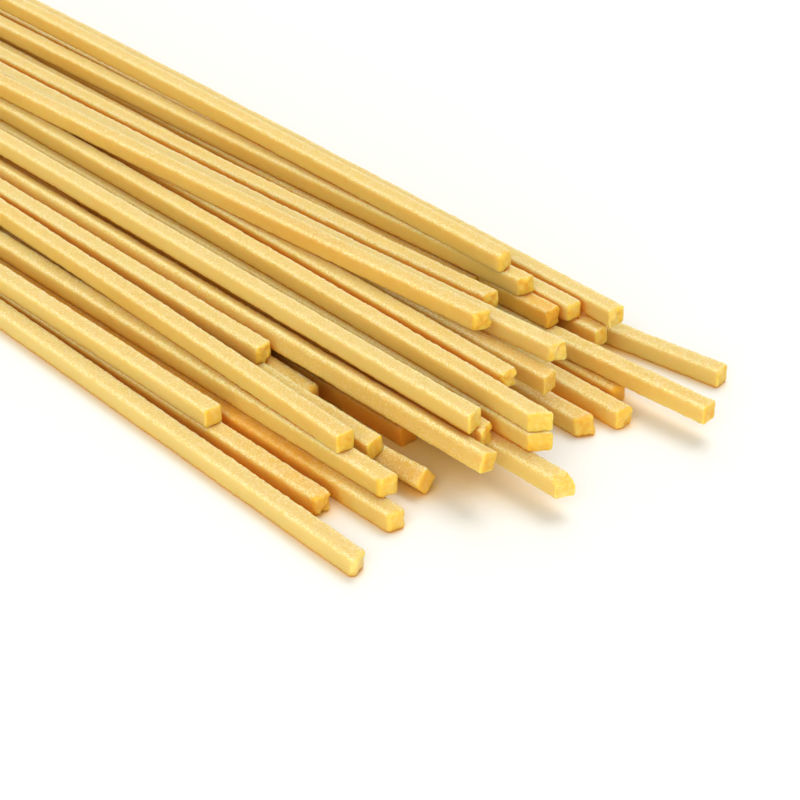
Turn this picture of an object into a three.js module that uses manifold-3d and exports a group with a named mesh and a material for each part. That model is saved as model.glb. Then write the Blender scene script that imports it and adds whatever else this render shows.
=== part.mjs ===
// A loose bundle of dry spaghetti lying on its side. The strands are square in section, about 256 mm long and
// 2 mm thick. They run along X, heap up in five layers and fan a little towards their near tips at +X.
// The heap is one solid out to its uneven outline: a stepped core with every strand grown into it.
// Millimetres, +Z up, origin at the middle of the footprint on the surface it lies on.

import * as THREE from "three";
import { mergeVertices } from "three/addons/utils/BufferGeometryUtils.js";
import Module from "manifold-3d";

const STRAND_LENGTH = 256; // a whole strand
const STRAND_SIDE = 2.1; // thickness of a strand with its flour and roughness
const LAYER_RISE = 2.05; // each layer sinks a little into the one below
const TAIL_LIMIT = -143; // no far tip lies further back than this
const FAN_LENGTH = 130; // a strand straightens out this far behind its near tip
const FAN_PIECES = 5; // straight pieces that make up a fanned strand, the last one behind the fan
const FAN_LEAST = 0.5; // degrees of splay below which a strand is one straight piece

const CORE_HALF_LENGTH = 97; // the core's ends lie well behind the strands' tips
const CORE_TOP = 7.6; // height of the core's highest step
const CORE_STEP = 2; // drop from one step to the next
// Where the core's steps begin and end across the bundle, from the highest to the lowest.
const CORE_SIDES = [
  [-7.5, 12],
  [-14.5, 18.5],
  [-21, 21],
  [-23.5, 22.5],
];

const PASTA = { color: 0xe9c983, roughness: 0.8, metalness: 0 };

// The layers from the floor up. A strand is [place across the bundle at its near tip, reach of that tip,
// splay of the tip in degrees, roll about its own length in degrees].
const LAYERS = [
  [
    [-24.7, 139.3, -0.7, 0],
    [-21, 129.1, 0.8, 0],
    [-17.6, 135.9, 1.4, 0],
    [-11.6, 132.9, 3.4, 40],
    [-9.2, 105, 0, 0],
    [-7, 125, 0, 0],
    [-5, 121, 0, 0],
    [-3, 118, 0, 0],
    [-1, 120, 0, 0],
    [1, 117, 0, 0],
    [3, 119, 0, 0],
    [5, 122, 0, 0],
    [7.2, 136, 0, 0],
    [9.2, 112, 0, 0],
    [11.2, 136.5, 0, 0],
    [14.1, 133, 0, 0],
    [16.3, 126, 0, 0],
    [18.3, 122, 0, 0],
    [20.5, 118, 0, 0],
    [24.7, 137.3, 8.9, 0],
  ],
  [
    [-21.3, 112.5, 0.6, 0],
    [-16.4, 133.5, 1.2, 0],
    [-13.1, 127.3, 0, 10],
    [-11.3, 115.7, 0, 0],
    [-9, 99, 0, 0],
    [-7, 124, 0, 0],
    [-4.2, 144.4, 0.8, 0],
    [-1.6, 120, 0, 0],
    [0.4, 118, 0, 0],
    [2.4, 120, 0, 0],
    [4.4, 123, 0, 0],
    [12.6, 77, 0, 0],
    [14.6, 100, 0, 0],
    [15.7, 143.6, 3.6, 0],
    [16.5, 117, 0, 0],
    [18.5, 126.1, 0, 0],
    [20.5, 114, 0, 0],
  ],
  [
    [-16.6, 127, -1.8, 0],
    [-12.2, 109, 0, 0],
    [-8.9, 138.5, 0.6, -20],
    [-5.9, 135.2, 0, 0],
    [-2.8, 139.6, 0, 0],
    [-0.8, 128, 0, 0],
    [1.2, 126, 0, 0],
    [5.5, 131.9, 0, 0],
    [8.2, 100, 0, 0],
    [10.2, 109, 0, 0],
    [12.9, 112, 0, 0],
    [14.9, 122.5, 0, 0],
    [17.5, 123, 0, 0],
    [20, 126.5, -1.6, 0],
  ],
  [
    [-7.2, 134.9, 0, 0],
    [-2.7, 139.4, -1.1, 0],
    [0.4, 131.3, -1, 0],
    [7.8, 130.5, 3.8, 0],
    [9.8, 118.5, 3.2, 0],
    [14.9, 118.5, 2.3, 0],
  ],
  [
    [4, 123.9, 4.5, 0],
    [14.2, 116, -0.9, 0],
  ],
];

// How far a strand has come back towards the bundle at a distance behind its near tip.
function gathered(splay, behindTip) {
  const run = Math.min(behindTip, FAN_LENGTH);
  const slope = Math.tan(THREE.MathUtils.degToRad(splay));
  return slope * (run - (run * run) / (2 * FAN_LENGTH));
}

// One strand: a square bar, rolled about its length, laid in its layer and swayed to its splay.
function strandGeometry([place, reach, splay, roll], layer) {
  const length = reach - Math.max(reach - STRAND_LENGTH, TAIL_LIMIT);
  const pieces = Math.abs(splay) > FAN_LEAST ? FAN_PIECES : 1;
  const bar = new THREE.BoxGeometry(1, STRAND_SIDE, STRAND_SIDE, pieces, 1, 1);
  bar.rotateX(THREE.MathUtils.degToRad(roll));
  bar.translate(0, place, STRAND_SIDE / 2 + layer * LAYER_RISE);
  const spots = bar.getAttribute("position");
  for (let i = 0; i < spots.count; i += 1) {
    const station = Math.round((0.5 - spots.getX(i)) * pieces);
    const behindTip = station < pieces ? (station * FAN_LENGTH) / (FAN_PIECES - 1) : length;
    spots.setX(i, reach - behindTip);
    spots.setY(i, spots.getY(i) - gathered(splay, behindTip));
    spots.setZ(i, Math.max(spots.getZ(i), 0));
  }
  return bar;
}

// The core's cross-section: steps that narrow upwards, standing on the floor.
function coreOutline() {
  const outline = new THREE.Shape();
  const lowest = CORE_SIDES.length - 1;
  outline.moveTo(CORE_SIDES[lowest][0], 0);
  for (let step = lowest; step >= 0; step -= 1) {
    const floor = step === lowest ? 0 : CORE_TOP - (step + 1) * CORE_STEP;
    outline.lineTo(CORE_SIDES[step][0], floor);
    outline.lineTo(CORE_SIDES[step][0], CORE_TOP - step * CORE_STEP);
  }
  for (let step = 0; step <= lowest; step += 1) {
    const floor = step === lowest ? 0 : CORE_TOP - (step + 1) * CORE_STEP;
    outline.lineTo(CORE_SIDES[step][1], CORE_TOP - step * CORE_STEP);
    outline.lineTo(CORE_SIDES[step][1], floor);
  }
  return outline;
}

function coreGeometry() {
  const core = new THREE.ExtrudeGeometry(coreOutline(), {
    depth: 2 * CORE_HALF_LENGTH,
    bevelEnabled: false,
  });
  core.rotateX(Math.PI / 2);
  core.rotateZ(Math.PI / 2);
  core.translate(-CORE_HALF_LENGTH, 0, 0);
  return core;
}

const wasm = await Module();
wasm.setup();

function solidFrom(geometry) {
  geometry.deleteAttribute("normal");
  geometry.deleteAttribute("uv");
  const merged = mergeVertices(geometry, 1e-4);
  const vertProperties = new Float32Array(merged.getAttribute("position").array);
  const triVerts = new Uint32Array(merged.getIndex().array);
  return new wasm.Manifold(new wasm.Mesh({ numProp: 3, vertProperties, triVerts }));
}

function geometryFrom(solid) {
  const mesh = solid.getMesh();
  const geometry = new THREE.BufferGeometry();
  geometry.setAttribute("position", new THREE.BufferAttribute(mesh.vertProperties, mesh.numProp));
  geometry.setIndex(new THREE.BufferAttribute(mesh.triVerts, 1));
  return geometry;
}

// The whole heap: the strands of every layer joined to the core.
function heapGeometry() {
  let heap = solidFrom(coreGeometry());
  LAYERS.forEach((strands, layer) => {
    for (const strand of strands) heap = heap.add(solidFrom(strandGeometry(strand, layer)));
  });
  return geometryFrom(heap);
}

// Slides the footprint's middle onto the origin.
function centred(geometry) {
  geometry.computeBoundingBox();
  const { min, max } = geometry.boundingBox;
  geometry.translate(-(min.x + max.x) / 2, -(min.y + max.y) / 2, -min.z);
  return geometry.toNonIndexed();
}

const heap = centred(heapGeometry());
heap.computeVertexNormals();

const bundle = new THREE.Mesh(heap, new THREE.MeshStandardMaterial(PASTA));
bundle.name = "spaghetti_bundle";

const part = new THREE.Group();
part.add(bundle);

export default part;
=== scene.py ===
"""A loose bundle of dry, square-cut spaghetti lying on its side, strand by strand.

The strands run along X and fan out a little towards their near tips at +X. They lie in five layers over a
small core that only closes the gaps deep inside the heap. Lengths in the tables are millimetres.
"""

import logging
import math
import random
from collections.abc import Callable, Iterable, Sequence
from dataclasses import dataclass, field
from enum import Enum
from typing import ClassVar

import bpy
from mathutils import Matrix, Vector


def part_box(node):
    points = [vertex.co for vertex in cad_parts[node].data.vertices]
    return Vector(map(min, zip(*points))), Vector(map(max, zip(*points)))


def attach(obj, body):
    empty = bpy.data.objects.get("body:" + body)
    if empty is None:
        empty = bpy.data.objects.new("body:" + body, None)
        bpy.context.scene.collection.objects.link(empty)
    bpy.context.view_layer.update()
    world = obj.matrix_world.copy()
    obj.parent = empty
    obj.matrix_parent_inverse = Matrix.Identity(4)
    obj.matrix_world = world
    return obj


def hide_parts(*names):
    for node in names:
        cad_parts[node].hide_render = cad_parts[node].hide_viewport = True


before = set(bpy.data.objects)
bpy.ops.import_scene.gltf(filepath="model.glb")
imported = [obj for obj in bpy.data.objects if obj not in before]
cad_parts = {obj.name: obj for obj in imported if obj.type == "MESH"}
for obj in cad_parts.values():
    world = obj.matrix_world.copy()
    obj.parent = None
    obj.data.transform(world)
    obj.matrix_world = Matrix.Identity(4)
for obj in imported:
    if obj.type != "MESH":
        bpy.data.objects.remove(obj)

MM = 0.001
NODE = "spaghetti_bundle"
BODY = "root"

log = logging.getLogger("bundle")

Colour = tuple[float, float, float, float]
Test = Callable[[bpy.types.Mesh, object], bool]


def rgb(red: float, green: float, blue: float) -> Colour:
    """Returns an opaque linear colour."""
    return (red, green, blue, 1.0)


# --------------------------------------------------------------------------------------------------
# Workbench: the few handling steps that all modelling shares
# --------------------------------------------------------------------------------------------------


class Element(Enum):
    """What an edit-mode selection is made of."""

    VERTEX = "VERT"
    EDGE = "EDGE"
    FACE = "FACE"


class Workbench:
    """Selects, edits, applies and joins objects by operator."""

    MODES = {
        Element.VERTEX: (True, False, False),
        Element.EDGE: (False, True, False),
        Element.FACE: (False, False, True),
    }

    @staticmethod
    def clear() -> None:
        """Leaves nothing selected and nothing in edit mode."""
        if bpy.context.object is not None and bpy.context.object.mode != "OBJECT":
            bpy.ops.object.mode_set(mode="OBJECT")
        bpy.ops.object.select_all(action="DESELECT")

    @classmethod
    def take(cls, piece: bpy.types.Object) -> bpy.types.Object:
        """Makes one object the only one selected.

        Args:
            piece: The object to work on.

        Returns:
            The same object, active and selected.
        """
        cls.clear()
        bpy.context.view_layer.objects.active = piece
        piece.select_set(True)
        return piece

    @classmethod
    def edit(cls, piece: bpy.types.Object, element: Element, test: Test | None = None) -> int:
        """Enters edit mode with the chosen elements selected.

        Args:
            piece: The object to edit.
            element: Whether vertices, edges or faces are chosen.
            test: Says of the mesh and one element whether it is chosen. All are chosen without it.

        Returns:
            How many elements are selected.
        """
        cls.take(piece)
        bpy.context.tool_settings.mesh_select_mode = cls.MODES[element]
        mesh = piece.data
        for parts in (mesh.vertices, mesh.edges, mesh.polygons):
            parts.foreach_set("select", [test is None] * len(parts))
        chosen = len(mesh.vertices)
        if test is not None:
            parts = {
                Element.VERTEX: mesh.vertices,
                Element.EDGE: mesh.edges,
                Element.FACE: mesh.polygons,
            }[element]
            flags = [test(mesh, part) for part in parts]
            parts.foreach_set("select", flags)
            chosen = sum(flags)
        bpy.ops.object.mode_set(mode="EDIT")
        return chosen

    @staticmethod
    def done() -> None:
        """Goes back to object mode."""
        bpy.ops.object.mode_set(mode="OBJECT")

    @classmethod
    def settle(cls, piece: bpy.types.Object) -> None:
        """Puts an object's place, turn and scale into its mesh."""
        cls.take(piece)
        bpy.ops.object.transform_apply(location=True, rotation=True, scale=True)

    @classmethod
    def copy(cls, master: bpy.types.Object, name: str) -> bpy.types.Object:
        """Copies a master object together with its mesh.

        Args:
            master: The object to copy.
            name: The copy's name.

        Returns:
            The copy, which shares nothing with its master.
        """
        cls.take(master)
        bpy.ops.object.duplicate(linked=False)
        twin = bpy.context.object
        twin.name = twin.data.name = name
        return twin

    @classmethod
    def modify(cls, piece: bpy.types.Object, kind: str, **settings: object) -> None:
        """Adds a modifier, sets it and applies it at once.

        Args:
            piece: The object to change.
            kind: The modifier's type.
            **settings: The modifier's properties by name.
        """
        cls.take(piece)
        bpy.ops.object.modifier_add(type=kind)
        modifier = piece.modifiers[-1]
        for key, value in settings.items():
            setattr(modifier, key, value)
        bpy.ops.object.modifier_apply(modifier=modifier.name)

    @classmethod
    def join(cls, parts: Sequence[bpy.types.Object], name: str) -> bpy.types.Object:
        """Joins several objects into one mesh.

        Args:
            parts: The objects to join.
            name: The joined piece's name.

        Returns:
            The joined piece.
        """
        cls.clear()
        for part in parts:
            part.select_set(True)
        bpy.context.view_layer.objects.active = parts[0]
        if len(parts) > 1:
            bpy.ops.object.join()
        piece = bpy.context.object
        piece.name = piece.data.name = name
        return piece

    @classmethod
    def bin(cls, *parts: bpy.types.Object) -> None:
        """Removes masters and helpers that aren't part of the bundle.

        Args:
            *parts: The objects to remove.
        """
        cls.clear()
        for part in parts:
            bpy.data.objects.remove(part, do_unlink=True)


# --------------------------------------------------------------------------------------------------
# Finishes
# --------------------------------------------------------------------------------------------------


@dataclass
class NodeBoard:
    """A material's node tree with short calls for adding and wiring nodes."""

    name: str
    material: bpy.types.Material = field(init=False)
    shader: bpy.types.Node = field(init=False)

    def __post_init__(self) -> None:
        """Makes the material and finds its shader node."""
        self.material = bpy.data.materials.new(self.name)
        self.material.use_nodes = True
        self.shader = self.material.node_tree.nodes["Principled BSDF"]

    def add(self, kind: str, **settings: object) -> bpy.types.Node:
        """Adds a node.

        Args:
            kind: The node's type name.
            **settings: The node's properties by name.

        Returns:
            The new node.
        """
        node = self.material.node_tree.nodes.new(kind)
        for key, value in settings.items():
            setattr(node, key, value)
        return node

    def wire(self, source: bpy.types.NodeSocket, target: bpy.types.NodeSocket) -> None:
        """Links one socket to another."""
        self.material.node_tree.links.new(source, target)

    def fix(self, **values: object) -> None:
        """Sets the shader's own sockets, with underscores for the spaces in their names."""
        for key, value in values.items():
            self.shader.inputs[key.replace("_", " ")].default_value = value

    def place(self, stretch: tuple[float, float, float] = (1.0, 1.0, 1.0)) -> bpy.types.NodeSocket:
        """Gives object coordinates, stretched along the axes.

        Args:
            stretch: Factor on each axis, smaller for a longer grain.

        Returns:
            The coordinate socket.
        """
        coords = self.add("ShaderNodeTexCoord")
        mapping = self.add("ShaderNodeMapping")
        mapping.inputs["Scale"].default_value = stretch
        self.wire(coords.outputs["Object"], mapping.inputs["Vector"])
        return mapping.outputs["Vector"]

    def cloud(
        self, where: bpy.types.NodeSocket, size: float, detail: float = 2.0, rough: float = 0.5
    ) -> bpy.types.NodeSocket:
        """Adds a noise.

        Args:
            where: The coordinate socket.
            size: Size of one patch in millimetres.
            detail: How many finer octaves it has.
            rough: How strong the finer octaves are.

        Returns:
            The noise's value socket, about 0.3 to 0.7.
        """
        noise = self.add("ShaderNodeTexNoise")
        noise.inputs["Scale"].default_value = 1.0 / (size * MM)
        noise.inputs["Detail"].default_value = detail
        noise.inputs["Roughness"].default_value = rough
        self.wire(where, noise.inputs["Vector"])
        return noise.outputs["Fac"]

    def span(
        self, value: bpy.types.NodeSocket, low: float, high: float, to: tuple[float, float] = (0.0, 1.0)
    ) -> bpy.types.NodeSocket:
        """Maps a range of a value to another, held at both ends.

        Args:
            value: The socket to map.
            low: Value that becomes the first of `to`.
            high: Value that becomes the second of `to`.
            to: The new range.

        Returns:
            The mapped socket.
        """
        node = self.add("ShaderNodeMapRange", interpolation_type="SMOOTHSTEP")
        for name, number in zip(("From Min", "From Max", "To Min", "To Max"), (low, high, *to)):
            node.inputs[name].default_value = number
        self.wire(value, node.inputs["Value"])
        return node.outputs["Result"]

    def sum(
        self, kind: str, first: bpy.types.NodeSocket, second: bpy.types.NodeSocket | float
    ) -> bpy.types.NodeSocket:
        """Works out a sum, product or other two-value step.

        Args:
            kind: The operation, such as ADD or MULTIPLY.
            first: The first socket.
            second: The second socket or a number.

        Returns:
            The result socket.
        """
        node = self.add("ShaderNodeMath", operation=kind)
        self.wire(first, node.inputs[0])
        if isinstance(second, (int, float)):
            node.inputs[1].default_value = second
        else:
            self.wire(second, node.inputs[1])
        return node.outputs[0]

    def blend(
        self,
        share: bpy.types.NodeSocket,
        first: bpy.types.NodeSocket | Colour,
        second: bpy.types.NodeSocket | Colour,
    ) -> bpy.types.NodeSocket:
        """Blends two colours.

        Args:
            share: How much of the second colour there is.
            first: Socket or colour at 0.
            second: Socket or colour at 1.

        Returns:
            The blended colour socket.
        """
        node = self.add("ShaderNodeMix", data_type="RGBA")
        self.wire(share, node.inputs[0])
        for socket, colour in ((node.inputs[6], first), (node.inputs[7], second)):
            if isinstance(colour, bpy.types.NodeSocket):
                self.wire(colour, socket)
            else:
                socket.default_value = colour
        return node.outputs[2]

    def shelter(self, reach: float, free: float, closed: float) -> bpy.types.NodeSocket:
        """Tells how closed in a spot is by its neighbours.

        Args:
            reach: How far neighbours count, in millimetres.
            free: Share of open surroundings at which it still counts as open.
            closed: Share of open surroundings at which it counts as closed.

        Returns:
            A socket that is 0 in the open and 1 deep in a gap.
        """
        node = self.add("ShaderNodeAmbientOcclusion", samples=6)
        node.inputs["Distance"].default_value = reach * MM
        return self.span(node.outputs["AO"], free, closed)

    def paint_gap_shade(
        self, colour: bpy.types.NodeSocket, inner: Colour, hollow: Colour
    ) -> tuple[bpy.types.NodeSocket, bpy.types.NodeSocket]:
        """Paints shade into a colour, and dulls the shader, where strands lie close or lie in shade.

        Args:
            colour: The colour in the open.
            inner: The painted shade colour between strands.
            hollow: The painted shade colour deep in a gap.

        Returns:
            The colour with its painted shade, and how closed in the spot is.
        """
        # Painted shade: the colour turns darker and redder where ambient occlusion finds neighbours close,
        # or where a strand is marked as lying in shade.
        closed = self.sum("MAXIMUM", self.shelter(2.8, 0.58, 0.12), self.own("painted_shade"))
        colour = self.blend(self.span(closed, 0.0, 0.5), colour, inner)
        colour = self.blend(self.span(closed, 0.4, 1.0), colour, hollow)
        self.wire(self.span(closed, 0.0, 0.7, (0.45, 0.04)), self.shader.inputs["Specular IOR Level"])
        return colour, closed

    def own(self, name: str) -> bpy.types.NodeSocket:
        """Reads one of the mesh's own attributes as a value."""
        return self.add("ShaderNodeAttribute", attribute_name=name).outputs["Fac"]

    def emboss(self, *reliefs: tuple[bpy.types.NodeSocket, float, float]) -> None:
        """Wires a chain of bumps to the shader.

        Args:
            *reliefs: For each bump its height socket, its depth in millimetres and its strength.
        """
        normal = None
        for height, depth, strength in reliefs:
            bump = self.add("ShaderNodeBump")
            bump.inputs["Strength"].default_value = strength
            bump.inputs["Distance"].default_value = depth * MM
            self.wire(height, bump.inputs["Height"])
            if normal is not None:
                self.wire(normal, bump.inputs["Normal"])
            normal = bump.outputs["Normal"]
        self.wire(normal, self.shader.inputs["Normal"])


@dataclass(frozen=True)
class PastaSkin:
    """The floury, drawn outside of a strand: matt, pale golden, paler and grainier on upward faces, with
    whitish grains on its edges, and with painted shade, darker and redder, where strands lie close.
    """

    pale: Colour = rgb(0.70, 0.530, 0.165)
    golden: Colour = rgb(0.70, 0.495, 0.115)
    amber: Colour = rgb(0.66, 0.395, 0.070)
    flour: Colour = rgb(0.82, 0.71, 0.42)
    # inner and hollow are painted shade: darker, redder colours put where strands lie close together and
    # deep in gaps.
    inner: Colour = rgb(0.75, 0.420, 0.058)
    hollow: Colour = rgb(0.72, 0.270, 0.024)

    def material(self) -> bpy.types.Material:
        """Builds the skin.

        Returns:
            The material.
        """
        board = NodeBoard("pasta skin")
        here = board.place()
        along = board.place((0.22, 1.0, 1.0))
        tone = board.own("tone")
        ridge = board.own("ridge")
        drift = board.cloud(along, 4.5, 3.0, 0.55)
        mottle = board.cloud(here, 1.1, 4.0, 0.65)
        grain = board.cloud(here, 0.19, 3.0, 0.65)
        up = board.add("ShaderNodeSeparateXYZ")
        board.wire(board.add("ShaderNodeNewGeometry").outputs["Normal"], up.inputs[0])
        # Faces that point up are paler and carry more whitish grain and film; the sides keep a little of
        # it.
        facing_up = board.span(up.outputs["Z"], 0.0, 0.9, (0.12, 1.0))

        depth = board.sum("ADD", board.sum("MULTIPLY", tone, 0.5), board.sum("MULTIPLY", drift, 0.9))
        depth = board.sum("ADD", depth, board.sum("MULTIPLY", mottle, 0.45))
        depth = board.sum("SUBTRACT", depth, board.sum("MULTIPLY", facing_up, 0.22))
        colour = board.blend(board.span(depth, 0.45, 1.05), self.pale, self.golden)
        colour = board.blend(board.span(depth, 0.9, 1.4), colour, self.amber)

        # Painted shade where strands lie close or in the shade of others.
        colour, closed = board.paint_gap_shade(colour, self.inner, self.hollow)
        # Fewer pale grains where the painted shade lies.
        facing_up = board.sum("MULTIPLY", facing_up, board.span(closed, 0.1, 0.9, (1.0, 0.2)))
        specks = board.sum("ADD", grain, board.sum("MULTIPLY", ridge, 0.1))
        specks = board.sum("MULTIPLY", board.span(specks, 0.49, 0.70), facing_up)
        film = board.sum("MULTIPLY", board.span(mottle, 0.42, 0.68, (0.04, 0.26)), facing_up)
        colour = board.blend(film, colour, self.flour)
        colour = board.blend(specks, colour, self.flour)
        board.wire(colour, board.shader.inputs["Base Color"])
        board.wire(board.span(grain, 0.35, 0.7, (0.55, 0.85)), board.shader.inputs["Roughness"])
        board.fix(
            Subsurface_Weight=0.8,
            Subsurface_Radius=(1.0, 0.62, 0.22),
            Subsurface_Scale=2.0 * MM,
            IOR=1.48,
        )
        board.emboss((mottle, 0.07, 0.4), (grain, 0.1, 1.0))
        return board.material


@dataclass(frozen=True)
class BrokenEnd:
    """The glassy inside that shows where a strand was cut or snapped: smoother and a deeper yellow, with
    painted shade, darker and redder, where strands lie close.
    """

    rim: Colour = rgb(0.78, 0.605, 0.19)
    heart: Colour = rgb(0.75, 0.525, 0.085)
    deep: Colour = rgb(0.74, 0.430, 0.045)
    # inner and hollow are painted shade, put where the end lies close to other strands and deep in gaps.
    inner: Colour = rgb(0.74, 0.390, 0.045)
    hollow: Colour = rgb(0.64, 0.250, 0.024)

    def material(self) -> bpy.types.Material:
        """Builds the end's finish.

        Returns:
            The material.
        """
        board = NodeBoard("broken end")
        here = board.place()
        tone = board.own("tone")
        mottle = board.cloud(here, 0.8, 3.0, 0.6)
        grit = board.cloud(here, 0.22, 2.0, 0.5)
        depth = board.sum("ADD", mottle, board.sum("MULTIPLY", tone, 0.22))
        colour = board.blend(board.span(depth, 0.4, 0.62), self.rim, self.heart)
        colour = board.blend(board.span(depth, 0.62, 0.86), colour, self.deep)
        # Painted shade where the end lies close to others.
        colour, _ = board.paint_gap_shade(colour, self.inner, self.hollow)
        board.wire(colour, board.shader.inputs["Base Color"])
        board.wire(board.span(mottle, 0.3, 0.7, (0.34, 0.58)), board.shader.inputs["Roughness"])
        board.fix(
            Subsurface_Weight=0.8,
            Subsurface_Radius=(1.0, 0.64, 0.24),
            Subsurface_Scale=1.8 * MM,
            IOR=1.5,
        )
        board.emboss((mottle, 0.14, 0.5), (grit, 0.04, 0.5))
        return board.material


@dataclass(frozen=True)
class PaleFloor:
    """The plain, nearly white surface under the bundle, with a painted warm shadow close round the heap.
    """

    bright: Colour = rgb(0.855, 0.88, 0.925)
    soft: Colour = rgb(0.845, 0.87, 0.915)
    # warm is a painted shadow: the colour the floor turns to where the heap closes round a spot.
    warm: Colour = rgb(0.86, 0.58, 0.14)

    def material(self) -> bpy.types.Material:
        """Builds the floor's finish.

        Returns:
            The material.
        """
        board = NodeBoard("pale floor")
        patches = board.cloud(board.place(), 60.0, 2.0, 0.5)
        colour = board.blend(patches, self.bright, self.soft)
        # Painted shadow: warm tan where ambient occlusion finds the heap close by.
        colour = board.blend(board.shelter(8.5, 0.75, 0.16), colour, self.warm)
        board.wire(colour, board.shader.inputs["Base Color"])
        board.fix(Roughness=0.85, IOR=1.3)
        return board.material


# --------------------------------------------------------------------------------------------------
# Strands
# --------------------------------------------------------------------------------------------------


class Tip(Enum):
    """How a strand's end was left. The values are softening, tear and depth of a second facet, in mm."""

    SQUARE = (0.14, 0.10, 0.0)
    ROUNDED = (0.60, 0.16, 0.0)
    TORN = (0.22, 0.70, 0.0)
    CRUMBLED = (0.50, 0.80, 0.0)
    SNAPPED = (0.16, 1.60, 0.0)
    POINTED = (0.12, 0.12, 1.0)


@dataclass(frozen=True)
class Strand:
    """Where one strand lies, how its near tip is cut and how much shade is painted on it.

    Attributes:
        place: Place across the bundle at its near tip.
        reach: How far that tip reaches.
        splay: How far the tip turns away from the bundle, in degrees.
        roll: Turn about its own length, in degrees.
        tip: How the near tip was left.
        yaw: Turn of the cut to the side, in degrees.
        rake: Tilt of the cut, in degrees.
        drop: How far it has sunk below its layer.
        bite: Side of the second facet, in degrees from the back over the top.
        painted_shade: How much shade is painted into its colour near its tip, for lying in the shadow
        of others, from 0 to 1, or -1 for none and the palest tone of its own.
        deep: The painted shade further back than a centimetre behind that tip, or nothing for no change.
        shown: False for a strand buried in the heap.
    """

    place: float
    reach: float
    splay: float = 0.0
    roll: float = 0.0
    tip: Tip = Tip.SQUARE
    yaw: float = 0.0
    rake: float = 0.0
    drop: float = 0.0
    bite: float = 90.0
    painted_shade: float = 0.0
    deep: float | None = None
    shown: bool = True


def buried(*spots: tuple[float, float], painted_shade: float = 0.45) -> list[Strand]:
    """Lays the strands that the heap hides, each from its place across the bundle and its reach.

    Args:
        *spots: Place and reach of each strand.
        painted_shade: How much shade is painted on them.

    Returns:
        The strands.
    """
    return [Strand(place, reach, painted_shade=painted_shade, shown=False) for place, reach in spots]


# The layers from the floor up, each from the front of the bundle to its back.
# A strand's shade value is shade painted into its colour, where it lies in the shadow of others.
LAYERS: list[list[Strand]] = [
    [
        Strand(-24.7, 139.3, -0.7, 0, Tip.ROUNDED, 30, -8, painted_shade=-1.0),
        Strand(-21.0, 129.1, 0.8, 0, Tip.CRUMBLED, 5, 0, painted_shade=0.25, deep=0.15),
        Strand(-17.6, 135.9, 1.4, 0, Tip.ROUNDED, -10, 0, painted_shade=0.1, deep=0.68),
        Strand(-11.6, 132.9, 3.4, 40, Tip.SQUARE, 5, 0, painted_shade=0.3),
        *buried((-9.2, 105), (-7.0, 125), painted_shade=0.9),
        *buried((-5.0, 121), (-3.0, 118), (-1.0, 120), (1.0, 117), (3.0, 119), (5.0, 122)),
        Strand(7.2, 136.0, 0, 0, Tip.ROUNDED, -25, 12, painted_shade=0.12),
        *buried((9.2, 112)),
        Strand(11.2, 136.5, 0, 0, Tip.TORN, 0, 0, painted_shade=0.1),
        Strand(14.1, 133.0, 0, 0, Tip.ROUNDED, 0, 0, painted_shade=0.4),
        *buried((16.3, 126), (18.3, 122), (20.5, 118)),
        Strand(24.7, 137.3, 8.9, 0, Tip.SQUARE, 5, 0),
    ],
    [
        Strand(-21.3, 112.5, 0.6, 0, Tip.SQUARE, 0, 0),
        Strand(-16.4, 133.5, 1.2, 0, Tip.ROUNDED, -15, 0),
        Strand(-13.1, 127.3, 0, 10, Tip.SQUARE, 8, 0),
        Strand(-11.3, 115.7, 0, 0, Tip.ROUNDED, 10, 0, drop=0.35, painted_shade=0.3),
        *buried((-9.0, 99), (-7.0, 124), painted_shade=0.9),
        Strand(-4.2, 144.4, 0.8, 0, Tip.POINTED, -20, -5),
        *buried((-1.6, 120), (0.4, 118), (2.4, 120), (4.4, 123), (12.6, 77), (14.6, 100)),
        Strand(15.7, 143.6, 3.6, 0, Tip.SQUARE, 5, 0),
        *buried((16.5, 117)),
        Strand(18.5, 126.1, 0, 0, Tip.SQUARE, 10, 0),
        *buried((20.5, 114)),
    ],
    [
        Strand(-16.6, 127.0, -1.8, 0, Tip.SQUARE, 0, 0),
        Strand(-12.2, 109.0, 0, 0, Tip.TORN, 10, 0),
        Strand(-8.9, 138.5, 0.6, -20, Tip.SQUARE, 5, 0),
        Strand(-5.9, 135.2, 0, 0, Tip.TORN, 20, 0),
        Strand(-2.8, 139.6, 0, 0, Tip.SQUARE, -33, 0),
        *buried((-0.8, 128), (1.2, 126)),
        Strand(5.5, 131.9, 0, 0, Tip.SQUARE, 15, 0, painted_shade=0.25),
        *buried((8.2, 100), (10.2, 109), (12.9, 112), painted_shade=0.3),
        Strand(14.9, 122.5, 0, 0, Tip.TORN, 8, 0, painted_shade=0.4),
        Strand(17.5, 123.0, 0, 0, Tip.ROUNDED, 0, 0),
        Strand(20.0, 126.5, -1.6, 0, Tip.TORN, 0, 0),
    ],
    [
        Strand(-7.2, 134.9, 0, 0, Tip.SQUARE, 17, 0),
        Strand(-2.7, 139.4, -1.1, 0, Tip.SQUARE, -33, 0),
        Strand(0.4, 131.3, -1, 0, Tip.CRUMBLED, 5, 0),
        Strand(7.8, 130.5, 3.8, 0, Tip.SNAPPED, -12, 0),
        Strand(9.8, 118.5, 3.2, 0, Tip.TORN, 0, 0),
        Strand(14.9, 118.5, 2.3, 0, Tip.TORN, -10, 0),
    ],
    [
        Strand(4.0, 123.9, 4.5, 0, Tip.CRUMBLED, -15, 0),
        Strand(14.2, 116.0, -0.9, 0, Tip.ROUNDED, 10, 0),
    ],
]


def table_slide() -> float:
    """Gives how far along X the CAD heap lies from the layers' own origin, in metres."""
    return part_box(NODE)[1].x - max(strand.reach for layer in LAYERS for strand in layer) * MM


def lengthwise(mesh: bpy.types.Mesh, edge: bpy.types.MeshEdge) -> bool:
    """Says whether an edge runs along the strand."""
    first, second = (mesh.vertices[i].co for i in edge.vertices)
    return abs(first.x - second.x) > 1e-6


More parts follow.
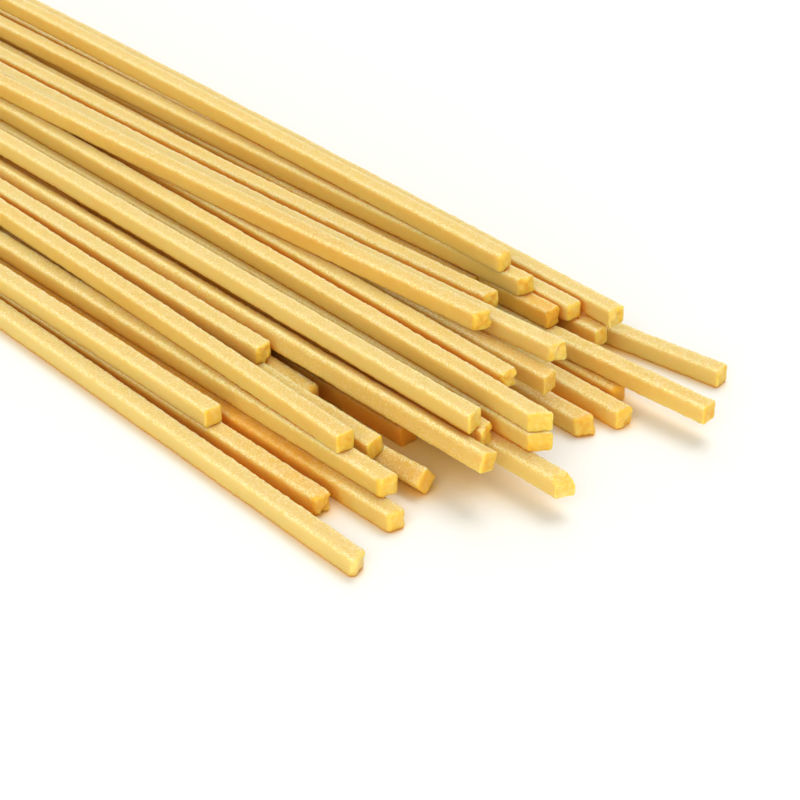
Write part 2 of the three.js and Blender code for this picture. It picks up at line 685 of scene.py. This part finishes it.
@dataclass
class StrandBlank:
    """An uncut strand along X from 0 to its length, from which all others are copied.

    Attributes:
        name: The blank's name.
        zones: End of each zone, measured from the far tip, and the length of its rings.
        length: Length of a whole strand.
        side: Thickness of a strand.
        edge: Width of the rounding along its four edges.
        hollow: How much its faces sink between the edges.
        lines: Lines along each wide face.
    """

    name: str
    zones: Sequence[tuple[float, float]]
    length: float = 256.0
    side: float = 2.04
    edge: float = 0.27
    hollow: float = 0.03
    lines: int = 3

    def build(self) -> bpy.types.Object:
        """Models the blank.

        Returns:
            The blank object, without material.
        """
        bpy.ops.mesh.primitive_cube_add(size=1.0, location=(self.length * MM / 2, 0, 0))
        bar = bpy.context.object
        bar.name = bar.data.name = self.name
        bar.scale = (self.length * MM, self.side * MM, self.side * MM)
        Workbench.settle(bar)
        Workbench.edit(bar, Element.EDGE, lengthwise)
        bpy.ops.mesh.bevel(offset=self.edge * MM, segments=2, profile=0.5)
        Workbench.done()
        Workbench.edit(bar, Element.EDGE, self._across)
        bpy.ops.mesh.subdivide(number_cuts=self.lines)
        Workbench.done()
        self._sink(bar)
        self._ring(bar)
        self._mark_ridges(bar)
        return bar

    def _across(self, mesh: bpy.types.Mesh, edge: bpy.types.MeshEdge) -> bool:
        """Says whether an edge crosses one of the four wide faces."""
        first, second = (mesh.vertices[i].co for i in edge.vertices)
        return abs(first.x - second.x) < 1e-7 and (first - second).length > self.side * MM / 2

    def _sink(self, bar: bpy.types.Object) -> None:
        """Sinks the middle line of each wide face a little.

        Args:
            bar: The blank.
        """
        least = 1e-6

        def midline(_: bpy.types.Mesh, vertex: bpy.types.MeshVertex) -> bool:
            """Says whether a vertex lies on a middle line."""
            return min(abs(vertex.co.y), abs(vertex.co.z)) < least

        Workbench.edit(bar, Element.VERTEX, midline)
        shrink = 1.0 - 2 * self.hollow / self.side
        bpy.ops.transform.resize(value=(1.0, shrink, shrink), center_override=(0.0, 0.0, 0.0))
        Workbench.done()

    def _ring(self, bar: bpy.types.Object) -> None:
        """Cuts the strand into zones and each zone into rings.

        Args:
            bar: The blank.
        """
        start = 0.0
        for end, pitch in self.zones:
            if end < self.length:
                Workbench.edit(bar, Element.FACE)
                bpy.ops.mesh.bisect(plane_co=(end * MM, 0, 0), plane_no=(1, 0, 0))
                Workbench.done()
            low, high = (start - 1e-3) * MM, (end + 1e-3) * MM
            rings = max(1, round((end - start) / pitch))
            for cuts in self._steps(rings):

                def inside(mesh: bpy.types.Mesh, edge: bpy.types.MeshEdge) -> bool:
                    """Says whether an edge runs along the strand within the zone."""
                    spots = [mesh.vertices[i].co.x for i in edge.vertices]
                    return lengthwise(mesh, edge) and min(spots) > low and max(spots) < high

                Workbench.edit(bar, Element.EDGE, inside)
                bpy.ops.mesh.subdivide(number_cuts=cuts)
                Workbench.done()
            start = end

    @staticmethod
    def _steps(rings: int) -> list[int]:
        """Splits a number of rings into two rounds of cuts, as one round makes at most a hundred."""
        first = max(1, math.ceil(rings / 40))
        return [n for n in (first - 1, max(1, round(rings / first)) - 1) if n > 0]

    def _mark_ridges(self, bar: bpy.types.Object) -> None:
        """Puts the vertices beside the four edges in a group of their own.

        Args:
            bar: The blank.
        """
        ridge = bar.vertex_groups.new(name="edge band")
        inner = (self.side / 2 - self.edge - 0.02) * MM
        corner = [v.index for v in bar.data.vertices if min(abs(v.co.y), abs(v.co.z)) > inner]
        ridge.add(corner, 1.0, "REPLACE")


@dataclass
class TipCutter:
    """Cuts, softens and breaks the two ends of a strand.

    Attributes:
        blank: The blank that the strand was copied from.
    """

    # Each ring of the crown: its share of the height, and its width beside the cut's.
    CROWN: ClassVar = ((0.48, 0.94), (0.28, 0.85), (0.16, 0.68), (0.08, 0.45), (0.0, 0.22))

    blank: StrandBlank

    def cut(
        self, bar: bpy.types.Object, tip: Tip, yaw: float, rake: float, bite: float, near: bool
    ) -> None:
        """Gives one end its cut.

        Args:
            bar: The strand, still straight along X.
            tip: How the end is left.
            yaw: Turn of the cut to the side, in degrees.
            rake: Tilt of the cut, in degrees.
            bite: Side of the second facet, in degrees from the back over the top.
            near: Whether it is the end at full length, or the one at 0.
        """
        soften, tear, facet = tip.value
        way = 1.0 if near else -1.0
        turn, tilt = math.radians(yaw), math.radians(rake)
        flat = math.cos(tilt)
        normal = Vector((way * math.cos(turn) * flat, math.sin(turn) * flat, math.sin(tilt)))
        half = self.blank.side / 2
        back = (abs(normal.y) + abs(normal.z)) * half / abs(normal.x) + soften
        spot = Vector(((self.blank.length - back if near else back) * MM, 0, 0))
        self._slice(bar, spot, normal)
        if facet:
            side = Vector((0.0, math.cos(math.radians(bite)), math.sin(math.radians(bite))))
            lean = (Vector((way, 0.0, 0.0)) + side * 1.25).normalized()
            corner = spot + side * (half * MM) - Vector((way * facet * MM, 0, 0))
            self._slice(bar, corner, lean)
            self._net(bar, spot, normal, way, tear)
        else:
            self._crown(bar, spot, normal, soften, tear)

    @staticmethod
    def _slice(bar: bpy.types.Object, spot: Vector, normal: Vector) -> None:
        """Cuts the strand off beyond a plane and closes the cut.

        Args:
            bar: The strand.
            spot: A point of the plane.
            normal: The way the plane faces, towards what is cut off.
        """
        Workbench.edit(bar, Element.FACE)
        bpy.ops.mesh.bisect(plane_co=spot, plane_no=normal, use_fill=True, clear_outer=True)
        Workbench.done()

    def _crown(
        self, bar: bpy.types.Object, spot: Vector, normal: Vector, soften: float, tear: float
    ) -> None:
        """Draws a flat cut out into a low crown, so that its rim is soft.

        Args:
            bar: The strand.
            spot: The cut's middle.
            normal: The way the cut faces.
            soften: The crown's height.
            tear: How torn the end is.
        """

        def cap(_: bpy.types.Mesh, face: bpy.types.MeshPolygon) -> bool:
            """Says whether a face is the flat cut."""
            return len(face.vertices) > 8 and face.normal.dot(normal) > 0.9

        Workbench.edit(bar, Element.FACE, cap)
        forward, scale = 0.0, 1.0
        for share, width in self.CROWN:
            rise = soften * share
            bpy.ops.mesh.extrude_region_move(TRANSFORM_OT_translate={"value": normal * rise * MM})
            forward += rise
            shrink = width / scale
            scale = width
            bpy.ops.transform.resize(
                value=(shrink, shrink, shrink), center_override=spot + normal * forward * MM
            )
        bpy.ops.mesh.poke()
        Workbench.done()
        self._mark_end(bar, spot, normal, tear)

    def _net(
        self, bar: bpy.types.Object, spot: Vector, normal: Vector, way: float, tear: float
    ) -> None:
        """Divides the facets of a broken end finely enough to be torn.

        Args:
            bar: The strand.
            spot: The cut's middle.
            normal: The way the cut faces.
            way: 1 for the near end, -1 for the far one.
            tear: How torn the end is.
        """
        limit = (self.blank.length - 3.5 if way > 0 else 3.5) * MM

        def facet(_: bpy.types.Mesh, face: bpy.types.MeshPolygon) -> bool:
            """Says whether a face is one of the end's facets."""
            ahead = (face.center.x - limit) * way > 0
            return ahead and face.normal.x * way > 0.15

        Workbench.edit(bar, Element.FACE, facet)
        bpy.ops.mesh.poke()
        bpy.ops.mesh.subdivide(number_cuts=2)
        Workbench.done()
        self._mark_end(bar, spot, normal, tear, 0.15)

    @staticmethod
    def _mark_end(
        bar: bpy.types.Object, spot: Vector, normal: Vector, tear: float, least: float | None = None
    ) -> None:
        """Gives the end its own finish and weighs how torn it is.

        Args:
            bar: The strand.
            spot: The cut's middle.
            normal: The way the cut faces.
            tear: How torn the end is.
            least: How far a facet has to face along X, or nothing for a flat cut.
        """
        way = 1.0 if normal.x > 0 else -1.0
        limit = spot.x - way * 3.0 * MM

        def belongs(mesh: bpy.types.Mesh, face: bpy.types.MeshPolygon) -> bool:
            """Says whether a face belongs to the end."""
            if least is not None:
                return (face.center.x - limit) * way > 0 and face.normal.x * way > least
            return all((mesh.vertices[i].co - spot).dot(normal) > -1e-6 for i in face.vertices)

        Workbench.edit(bar, Element.FACE, belongs)
        bar.active_material_index = 1
        bpy.ops.object.material_slot_assign()
        Workbench.done()
        torn = sorted({i for f in bar.data.polygons if f.select for i in f.vertices})
        group = bar.vertex_groups.get("break") or bar.vertex_groups.new(name="break")
        group.add(torn, tear, "REPLACE")


@dataclass
class Heap:
    """All strands of the bundle, laid layer by layer.

    Attributes:
        rise: Height from one layer to the next.
        fan: How far behind its tip a strand straightens out.
        tail_limit: No far tip lies further back than this.
    """

    # Name, patch size, octaves, strength, the vertices it works on and the way it moves them.
    RELIEFS: ClassVar = (
        ("slow swelling", 7.0, 1, 0.10, "", "NORMAL"),
        ("skin ripple", 0.9, 2, 0.08, "", "NORMAL"),
        ("edge crumble", 0.42, 2, 0.15, "edge band", "NORMAL"),
        ("torn end", 0.7, 2, 1.0, "break", "X"),
    )

    rise: float = 2.05
    fan: float = 130.0
    tail_limit: float = -143.0
    fine: StrandBlank = field(
        default_factory=lambda: StrandBlank("fine strand", ((105, 2.5), (170, 0.8), (256, 0.33)))
    )
    coarse: StrandBlank = field(
        default_factory=lambda: StrandBlank("plain strand", ((215, 1.8), (256, 1.0)), lines=1)
    )
    skin: bpy.types.Material = field(init=False)
    end: bpy.types.Material = field(init=False)

    def build(self) -> list[bpy.types.Object]:
        """Models every strand and joins them by layer.

        Returns:
            The finished pieces.
        """
        self.skin, self.end = PastaSkin().material(), BrokenEnd().material()
        masters = {True: self.fine.build(), False: self.coarse.build()}
        for master in masters.values():
            master.data.materials.append(self.skin)
            master.data.materials.append(self.end)
        groups: dict[str, list[bpy.types.Object]] = {}
        names = ("floor_strands", "second_strands", "third_strands", "upper_strands", "upper_strands")
        number = 0
        for level, layer in enumerate(LAYERS):
            for strand in layer:
                number += 1
                piece = self._strand(strand, level, masters[strand.shown], number)
                group = names[level] if strand.shown else "inner_strands"
                groups.setdefault(group, []).append(piece)
        pieces = [Workbench.join(parts, name) for name, parts in groups.items()]
        Workbench.bin(*masters.values())
        for piece in pieces:
            self.roughen(piece)
            self.dress(piece)
        return pieces

    def _strand(
        self, strand: Strand, level: int, master: bpy.types.Object, number: int
    ) -> bpy.types.Object:
        """Copies a blank, cuts its ends and lays it in its place.

        Args:
            strand: Where it lies and how its near tip is cut.
            level: Its layer, from 0.
            master: The blank to copy.
            number: Its number, from which its own small differences are drawn.

        Returns:
            The strand in its place.
        """
        draw = random.Random(900 + number)
        blank = self.fine if strand.shown else self.coarse
        bar = Workbench.copy(master, f"strand {number:02d}")
        cutter = TipCutter(blank)
        cutter.cut(bar, strand.tip, strand.yaw, strand.rake, strand.bite, True)
        far = draw.choice((Tip.SQUARE, Tip.SQUARE, Tip.ROUNDED, Tip.TORN))
        cutter.cut(bar, far, draw.uniform(-18, 18), draw.uniform(-10, 10), 90.0, False)
        bar.rotation_euler = (math.radians(strand.roll), 0, 0)
        guide = self._guide(strand, level, draw)
        length = sum(
            (a.co.xyz - b.co.xyz).length
            for a, b in zip(guide.data.splines[0].points, guide.data.splines[0].points[1:])
        )
        thick = draw.uniform(-0.012, 0.012)
        bar.scale = (length / (blank.length * MM), 1 + thick, 1 - thick)
        Workbench.settle(bar)
        Workbench.modify(bar, "CURVE", object=guide, deform_axis="POS_X")
        Workbench.bin(guide)
        self._mark_tone_and_painted_shade(bar, strand, draw.random())
        return bar

    @staticmethod
    def _mark_tone_and_painted_shade(bar: bpy.types.Object, strand: Strand, tone: float) -> None:
        """Stores each strand's own tone and the shade painted on it, which grows behind its near tip and
        fades towards its far tail.

        Args:
            bar: The strand, in its place.
            strand: Where it lies and how much shade is painted on it.
            tone: Its own share of the deeper yellow.
        """
        tip = strand.reach * MM + table_slide()
        # Painted shade: the tip's value turns into the deeper value from 5 to 13 mm behind the tip, and
        # mostly fades towards the far tail.
        deep = strand.painted_shade if strand.deep is None else strand.deep
        painted_shades = []
        for vertex in bar.data.vertices:
            behind = (tip - vertex.co.x) / MM
            back = min(1.0, max(0.0, (behind - 5.0) / 8.0))
            tail = min(1.0, max(0.0, (behind - 60.0) / 60.0))
            painted_shades.append((strand.painted_shade + (deep - strand.painted_shade) * back) * (1.0 - 0.85 * tail))
        if strand.painted_shade < 0.0:
            tone = strand.painted_shade
        for name, values in (("tone", [tone] * len(painted_shades)), ("painted_shade", painted_shades)):
            bar.data.attributes.new(name, "FLOAT", "POINT").data.foreach_set("value", values)

    def _guide(self, strand: Strand, level: int, draw: random.Random) -> bpy.types.Object:
        """Draws the line that a strand's middle follows, from its far tip to its near tip.

        Args:
            strand: Where it lies.
            level: Its layer, from 0.
            draw: Where its slight sway is drawn from.

        Returns:
            The line, as a curve object.
        """
        tail = max(strand.reach - self.fine.length, self.tail_limit)
        slope = math.tan(math.radians(strand.splay))
        side = self.fine.side
        height = side / 2 + level * self.rise - strand.drop
        if level == 0:
            turn = math.radians(strand.roll)
            height = side / 2 * (abs(math.cos(turn)) + abs(math.sin(turn)))
        sway, phase = draw.uniform(0.05, 0.16), draw.uniform(0, math.tau)
        slide = table_slide()
        count = 60
        spots = []
        for step in range(count):
            behind = (strand.reach - tail) * (1 - step / (count - 1))
            run = min(behind, self.fan)
            across = strand.place - slope * (run - run * run / (2 * self.fan))
            calm = min(1.0, behind / 60.0)
            across += sway * calm * math.sin(phase + behind / 37.0)
            spots.append(((strand.reach - behind) * MM + slide, across * MM, height * MM, 1.0))
        line = bpy.data.curves.new("strand guide", "CURVE")
        line.dimensions = "3D"
        line.twist_mode = "Z_UP"
        spline = line.splines.new("POLY")
        spline.points.add(count - 1)
        for point, spot in zip(spline.points, spots):
            point.co = spot
        guide = bpy.data.objects.new("strand guide", line)
        bpy.context.scene.collection.objects.link(guide)
        return guide

    def roughen(self, piece: bpy.types.Object) -> None:
        """Gives a piece the uneven thickness, the drawn waves and the crumbly edges of real pasta.

        Args:
            piece: The joined strands of one piece.
        """
        for name, size, depth, strength, group, way in self.RELIEFS:
            texture = bpy.data.textures.new(name, "CLOUDS")
            texture.noise_scale = size * MM
            texture.noise_depth = depth
            Workbench.modify(
                piece,
                "DISPLACE",
                texture=texture,
                texture_coords="GLOBAL",
                strength=strength * MM,
                mid_level=0.5,
                vertex_group=group,
                direction=way,
            )

    def dress(self, piece: bpy.types.Object) -> None:
        """Shades a piece smooth, hands it to its body, and stores the marks that its skin reads.

        Args:
            piece: The joined strands of one piece.
        """
        mesh = piece.data
        ridge = piece.vertex_groups["edge band"].index
        marks = [
            max((g.weight for g in vertex.groups if g.group == ridge), default=0.0)
            for vertex in mesh.vertices
        ]
        mesh.attributes.new("ridge", "FLOAT", "POINT").data.foreach_set("value", marks)
        piece.vertex_groups.clear()
        Workbench.take(piece)
        bpy.ops.object.shade_smooth_by_angle(angle=math.radians(52))
        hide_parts(NODE)
        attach(piece, BODY)


@dataclass
class Core:
    """The small filling deep inside the heap, a low loaf that closes its gaps.

    Attributes:
        start: Its far end.
        end: Its near end.
        front: Its side towards the front of the bundle.
        back: Its side towards the back.
        top: Its height above the floor.
        low: Its underside's height above the floor.
    """

    start: float = -90.0
    end: float = 70.0
    front: float = -13.0
    back: float = 12.0
    top: float = 5.2
    low: float = 0.4

    def build(self) -> bpy.types.Object:
        """Models the core as a low loaf.

        Returns:
            The finished piece.
        """
        size = Vector((self.end - self.start, self.back - self.front, self.top - self.low)) * MM
        middle = Vector((self.start + self.end, self.front + self.back, self.top + self.low)) * MM / 2
        bpy.ops.mesh.primitive_cube_add(size=1.0, location=middle)
        loaf = bpy.context.object
        loaf.name = loaf.data.name = "inner_core"
        loaf.scale = size
        Workbench.settle(loaf)

        def top_face(_: bpy.types.Mesh, face: bpy.types.MeshPolygon) -> bool:
            """Says whether a face is the loaf's top."""
            return face.normal.z > 0.9

        Workbench.edit(loaf, Element.FACE, top_face)
        bpy.ops.transform.resize(value=(0.96, 0.62, 1.0), center_override=middle)
        Workbench.done()
        Workbench.edit(loaf, Element.FACE)
        bpy.ops.mesh.subdivide(number_cuts=6)
        bpy.ops.mesh.bevel(offset=0.6 * MM, segments=1)
        Workbench.done()
        self.dress(loaf)
        return loaf

    def dress(self, loaf: bpy.types.Object) -> None:
        """Gives the core the pasta's own finish and hands it to its body.

        Args:
            loaf: The core.
        """
        loaf.data.materials.append(bpy.data.materials["pasta skin"])
        Workbench.take(loaf)
        bpy.ops.object.shade_smooth_by_angle(angle=math.radians(40))
        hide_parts(NODE)
        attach(loaf, BODY)


# --------------------------------------------------------------------------------------------------
# Studio
# --------------------------------------------------------------------------------------------------


@dataclass
class Studio:
    """The pale floor, the soft lights and the camera.

    Attributes:
        aim: The spot on the floor that the camera looks at.
        heading: Camera's turn away from the strands' own line, in degrees.
        elevation: Camera's height above the horizon, in degrees.
        distance: Camera's distance from that spot.
        lens: Focal length.
    """

    aim: Vector = field(default_factory=lambda: Vector((118.0 * MM + table_slide(), -2.2 * MM, 0.0)))
    heading: float = 40.7
    elevation: float = 31.0
    distance: float = 225.0 * MM
    lens: float = 100.2

    def build(self) -> None:
        """Sets up everything round the bundle."""
        self._floor()
        self._lights()
        self._camera()

    def _floor(self) -> None:
        """Lays the floor."""
        Workbench.clear()
        bpy.ops.mesh.primitive_circle_add(vertices=96, radius=3.0, fill_type="NGON")
        floor = bpy.context.object
        floor.name = "floor"
        floor.data.materials.append(PaleFloor().material())

    def _view(self) -> Vector:
        """Gives the direction from the camera to its aim."""
        turn, tilt = math.radians(self.heading), math.radians(self.elevation)
        return Vector((-math.cos(turn) * math.cos(tilt), math.sin(turn) * math.cos(tilt), -math.sin(tilt)))

    def _lights(self) -> None:
        """Hangs a soft light over the bundle, stands a low one in front, and fills from all round."""
        view = self._view()
        away = Vector((view.x, view.y, 0)).normalized()
        white, warm = (1.0, 1.0, 1.0), (1.0, 0.95, 0.84)
        self._panel("key panel", self.aim + Vector((-0.1, 0.34, 0.78)), 0.45, 2.9, white)
        self._panel("back panel", self.aim + away * 0.62 + Vector((0, 0, 0.62)), 0.5, 1.3, white)
        self._panel("front panel", self.aim - away * 0.7 + Vector((0, -0.25, 0.45)), 0.9, 8.35, warm)
        world = bpy.data.worlds.new("studio")
        bpy.context.scene.world = world
        world.use_nodes = True
        sky = world.node_tree.nodes["Background"]
        sky.inputs["Color"].default_value = rgb(1.0, 0.92, 0.74)
        sky.inputs["Strength"].default_value = 0.54

    def _panel(
        self, name: str, spot: Vector, size: float, power: float, colour: tuple[float, float, float]
    ) -> None:
        """Hangs a square soft light that faces the bundle.

        Args:
            name: The light's name.
            spot: Where it hangs.
            size: Its side in metres.
            power: Its power in watts.
            colour: Its colour.
        """
        light = bpy.data.lights.new(name, "AREA")
        light.shape, light.size, light.energy, light.color = "SQUARE", size, power, colour
        panel = bpy.data.objects.new(name, light)
        bpy.context.scene.collection.objects.link(panel)
        panel.location = spot
        panel.rotation_euler = (self.aim - spot).to_track_quat("-Z", "Y").to_euler()

    def _camera(self) -> None:
        """Stands the camera where it looks down on the near tips."""
        view = self._view()
        data = bpy.data.cameras.new("camera")
        data.sensor_width, data.lens = 36.0, self.lens
        data.clip_start, data.clip_end = 0.01, 20.0
        camera = bpy.data.objects.new("camera", data)
        bpy.context.scene.collection.objects.link(camera)
        camera.location = self.aim - view * self.distance
        camera.rotation_euler = view.to_track_quat("-Z", "Y").to_euler()
        bpy.context.scene.camera = camera
        bpy.context.scene.view_settings.view_transform = "Standard"


def report(pieces: Iterable[bpy.types.Object]) -> None:
    """Logs each piece with the number of its triangles.

    Args:
        pieces: The finished pieces.
    """
    for piece in pieces:
        triangles = sum(len(face.vertices) - 2 for face in piece.data.polygons)
        log.info("%s: %d triangles", piece.name, triangles)


def main() -> None:
    """Builds the bundle and its studio."""
    logging.basicConfig(level=logging.INFO, format="%(message)s")
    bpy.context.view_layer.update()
    Workbench.clear()
    pieces = Heap().build()
    pieces.append(Core().build())
    Studio().build()
    report(pieces)


if __name__ == "__main__":
    main()
